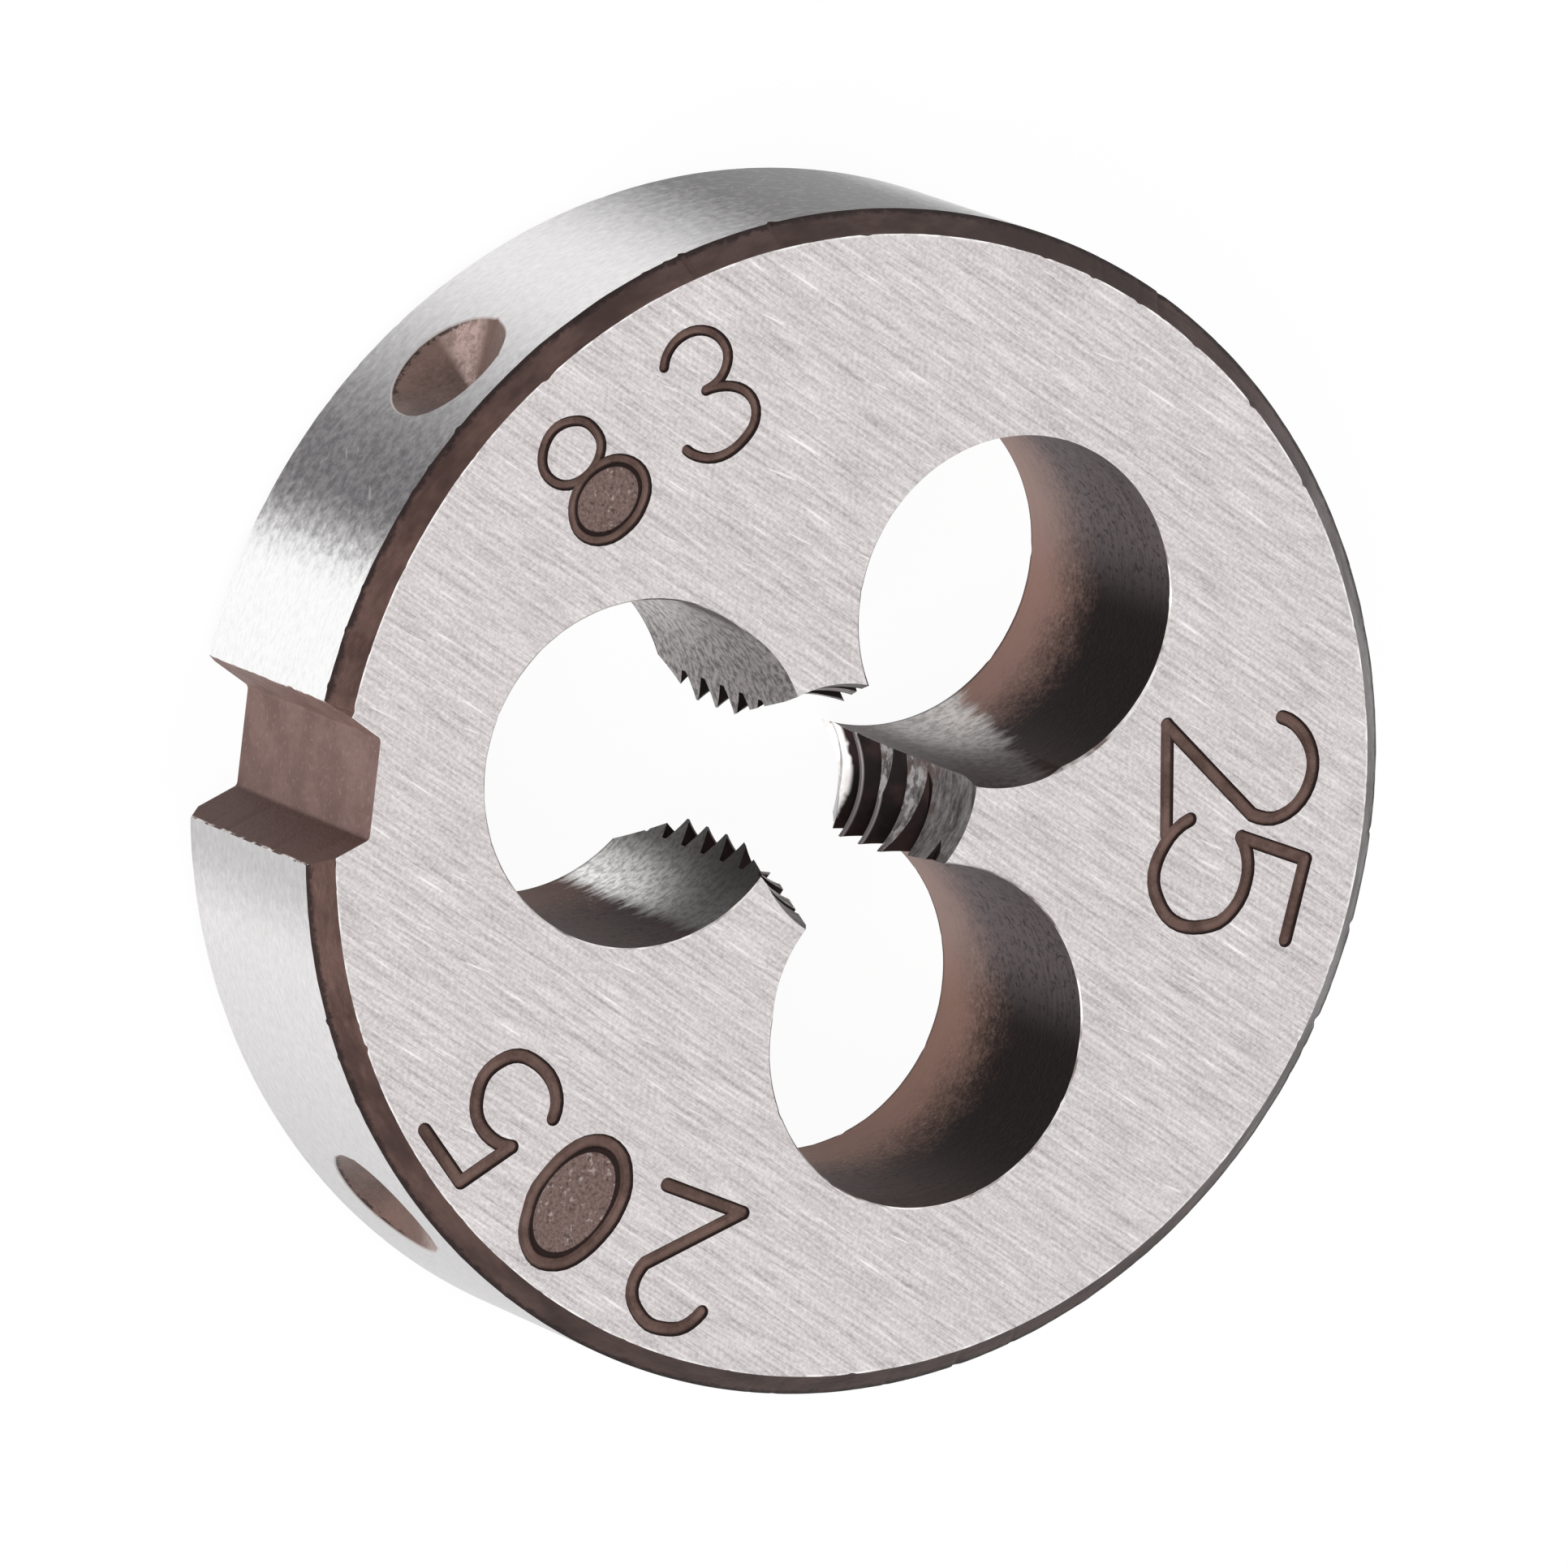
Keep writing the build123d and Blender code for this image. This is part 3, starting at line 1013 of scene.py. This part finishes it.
def lead_steel(unrolled, mottle):
    """The lead cones: grey turned steel with wavy tool marks, bare and bright at the back."""
    material, sheet, shader, place = start_material("lead_steel", 0.2)
    roll = round_thread(sheet, unrolled, place)
    spots = sheet.effect(mottle, {"Vector": place})
    height = sheet.parts(roll["Unrolled"])["Y"]
    marks = sheet.noise(sheet.stretched(roll["Unrolled"], 0.8, 3.0, 1), 2.6, 3.0, 0.65)
    marks = sheet.between(marks, 0.35, 0.65)
    grit = sheet.noise(sheet.stretched(roll["Unrolled"], 0.7, 2.2, 1), 5.0, 3.0, 0.75)
    grit = sheet.math("MULTIPLY_ADD", marks, 0.5, sheet.between(grit, 0.35, 0.65, 0, 0.5))
    front = sheet.mix(grit, srgb(78, 73, 73), srgb(154, 148, 148))
    light = sheet.noise(sheet.stretched(roll["Unrolled"], 1.0, 3.0, 1), 5.0, 2.0, 0.6)
    front = sheet.over(front, srgb(160, 155, 155), sheet.between(light, 0.6, 0.7), 0.6)
    pale_share = sheet.noise(sheet.stretched(roll["Unrolled"], 0.8, 1.5, 1), 3.2, 3.0, 0.65)
    pale_share = sheet.math("MULTIPLY", sheet.between(pale_share, 0.46, 0.58), sheet.between(height, 4.1, 3.9))
    front = sheet.mix(pale_share, front, srgb(196, 192, 191))
    tinted = sheet.between(sheet.noise(place, 2.6, 3.0, 0.6), 0.5, 0.62)
    tinted = sheet.math("MULTIPLY", tinted, sheet.between(height, 4.3, 4.0, 0, 0.6))
    front = sheet.mix(tinted, front, srgb(108, 82, 74))
    back = sheet.mix(marks, srgb(190, 186, 185), srgb(252, 250, 249))
    away = sheet.between(sheet.parts(place)["Y"], 0, 0.4)
    bare = sheet.math("MULTIPLY", sheet.between(height, 1.75, 1.55), away)
    tone = sheet.mix(bare, front, back)
    tone = sheet.over(tone, srgb(50, 45, 45), spots["Grain"], 0.2)
    coat(sheet, shader, tone, 0.5, 0.42)
    bump(sheet, shader, marks, 0.01)
    return material


def thread_steel(unrolled, mottle):
    """The teeth: near-black flanks, sooty and painted dark as shade, crests a little paler from wear, and
    bare at the back of one land.
    """
    material, sheet, shader, place = start_material("thread_steel", 0.05)
    roll = round_thread(sheet, unrolled, place)
    parts = sheet.parts(roll["Unrolled"])
    pale_share = sheet.between(parts["Z"], crest + 0.045, crest + 0.015)
    spots = sheet.effect(mottle, {"Vector": place})
    # Painted shade: the flanks' near-black stands in for their shade as well as their soot
    sooty = sheet.mix(spots["Cloud"], srgb(20, 15, 15), srgb(36, 26, 25))
    tone = sheet.mix(pale_share, sooty, srgb(112, 106, 105))
    level = sheet.math("MULTIPLY_ADD", roll["Turn"], thread_pitch / (2 * pi), parts["Y"])
    level = sheet.math("ADD", level, sheet.between(spots["Cloud"], 0, 1, -0.02, 0.02))
    away = sheet.between(sheet.parts(place)["Y"], 0, 0.4)
    bare = sheet.math("MULTIPLY", sheet.between(level, 1.64, 1.59), away)
    steel = sheet.mix(spots["Cloud"], srgb(198, 194, 192), srgb(252, 250, 249))
    tone = sheet.mix(bare, tone, steel)
    coat(sheet, shader, tone, 0.5, 0.45)
    return material


# Build the die

def build_die():
    """Cuts the whole die out of its blank."""
    grinding = grinding_group()
    unrolled = unrolled_group()
    mottle = mottle_group()
    face = ground_face(grinding, unrolled)
    rim_finish = ground_rim(grinding, unrolled)
    lead_finish = lead_steel(unrolled, mottle)
    teeth = thread_steel(unrolled, mottle)
    edge = broken_edge(mottle)
    # Each ground patch's last two tones are the bright and dim ends of its painted reflection
    dull_patch = (1, 76, 4.3, (66, 32), 4.3, 0.5, (srgb(200, 194, 191), srgb(84, 78, 77)))
    even_patch = (1, 84, 4.3, (76, 30), 4.0, 0.65, (srgb(226, 220, 219), srgb(172, 166, 166)))
    bright_patch = (-1, 58, 0, (54, 26), 4.4, 0.55, (srgb(255, 254, 252), srgb(42, 36, 36)))
    walls = (
        hole_wall(0, unrolled, mottle, srgb(100, 78, 71), (even_patch, bright_patch)),
        hole_wall(1, unrolled, mottle, srgb(156, 124, 112), (dull_patch,)),
        hole_wall(2, unrolled, mottle, srgb(160, 128, 118), (dull_patch,)),
    )
    body = blank(face, rim_finish, scaled_chamfer(unrolled, mottle))
    for hole, wall in enumerate(walls):
        cut(body, chip_hole(hole, wall, edge))
    cut(body, bore(teeth))
    for lead in (front_lead, back_lead):
        for land_angle in land_angles:
            cut(body, lead_cone(lead, land_angle, lead_finish))
    cut(body, thread_groove(teeth))
    for hole, wall in enumerate(walls):
        cut(body, heel_facet(hole, wall))
    cut(body, notch(scaled_notch(mottle)))
    # Each dimple's painted highlight streak: its turn, its half width and its tone
    for angle, streak, half, highlight_tone in zip(
        dimple_angles, (219, 40), (34, 56), (srgb(196, 170, 163), srgb(170, 148, 143))
    ):
        cut(body, dimple(angle, scaled_dimple(mottle, angle, streak, half, highlight_tone)))
    mark = struck_mark(mottle)
    bowl = broken_scale(mottle)
    for figure, angle, radius, size, (half_width, depth) in marks:
        if figure in broken_out:
            cut(body, broken_bowl(figure, angle, radius, size, bowl))
        for stroke in figures[figure]:
            cut(body, number_stroke(stroke, angle, radius, size, half_width, depth, mark))
    return finished(body)


die = build_die()
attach(die, "root")
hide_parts("die_body")


# Camera, floor and light

def set_camera():
    """Looks down on the die, turned about its own axis as in the photograph."""
    azimuth, elevation, roll = radians(253.14), radians(60.557), radians(111.418)
    distance = 335.861
    aim = Vector((-0.351, -1.439, thickness))
    back = Vector((cos(elevation) * cos(azimuth), cos(elevation) * sin(azimuth), sin(elevation)))
    level = Vector((0, 0, 1)).cross(back).normalized()
    upright = back.cross(level)
    right = level * cos(roll) + upright * sin(roll)
    up = upright * cos(roll) - level * sin(roll)
    data = bpy.data.cameras.new("camera")
    data.lens = 466.27
    data.sensor_width = 36.0
    data.clip_start = 0.01
    data.clip_end = 10.0
    camera = bpy.data.objects.new("camera", data)
    turn = Matrix((right, up, back)).transposed().to_4x4()
    camera.matrix_world = Matrix.Translation((aim + back * distance) * MM) @ turn
    bpy.context.scene.collection.objects.link(camera)
    bpy.context.scene.camera = camera


def seen_directly(sheet):
    """Is 1 for what the camera sees, straight or through gloss or glass."""
    path = sheet.node("ShaderNodeLightPath").outputs
    seen = sheet.math("MAXIMUM", path["Is Camera Ray"], path["Is Glossy Ray"])
    return sheet.math("MAXIMUM", seen, path["Is Transmission Ray"])


def set_floor():
    """A plain white floor, which keeps a faint shadow."""
    material = bpy.data.materials.new("floor")
    material.use_nodes = True
    tree = material.node_tree
    tree.nodes.clear()
    sheet = Sheet(tree)
    paper = sheet.node("ShaderNodeBsdfDiffuse", {"Color": (0.9, 0.9, 0.9, 1)}).outputs[0]
    glow = sheet.node("ShaderNodeEmission", {"Color": (1, 1, 1, 1), "Strength": 1.0}).outputs[0]
    share = sheet.math("MULTIPLY", seen_directly(sheet), 0.95)
    mixed = sheet.node("ShaderNodeMixShader", {0: share, 1: paper, 2: glow}).outputs[0]
    sheet.node("ShaderNodeOutputMaterial", {"Surface": mixed})
    bm = bmesh.new()
    bmesh.ops.create_grid(bm, x_segments=1, y_segments=1, size=1.0)
    thing = shape("floor", bm, material)


def set_light():
    """Soft boxes above and to both sides, in a pale room. Sizes and distances are in metres."""
    lamp_distance = 0.4
    world = bpy.data.worlds.new("room")
    bpy.context.scene.world = world
    world.use_nodes = True
    tree = world.node_tree
    tree.nodes.clear()
    sheet = Sheet(tree)
    room = sheet.node("ShaderNodeBackground", {"Color": (1, 1, 1, 1), "Strength": 0.6}).outputs[0]
    white = sheet.node("ShaderNodeBackground", {"Color": (1, 1, 1, 1), "Strength": 1.0}).outputs[0]
    mixed = sheet.node("ShaderNodeMixShader", {0: seen_directly(sheet), 1: room, 2: white}).outputs[0]
    sheet.node("ShaderNodeOutputWorld", {"Surface": mixed})
    for name, azimuth, elevation, size, power in (
        ("key", 300, 55, 0.25, 1.2),
        ("fill", 150, 40, 0.25, 0.6),
    ):
        data = bpy.data.lights.new(name, "AREA")
        data.size = size
        data.energy = power
        lamp = bpy.data.objects.new(name, data)
        reach, height = lamp_distance * cos(radians(elevation)), lamp_distance * sin(radians(elevation))
        place = polar(reach, azimuth, height)
        lamp.matrix_world = Matrix.Translation(place) @ place.to_track_quat("Z", "Y").to_matrix().to_4x4()
        bpy.context.scene.collection.objects.link(lamp)


set_camera()
set_floor()
set_light()
bpy.context.scene.view_settings.view_transform = "Standard"
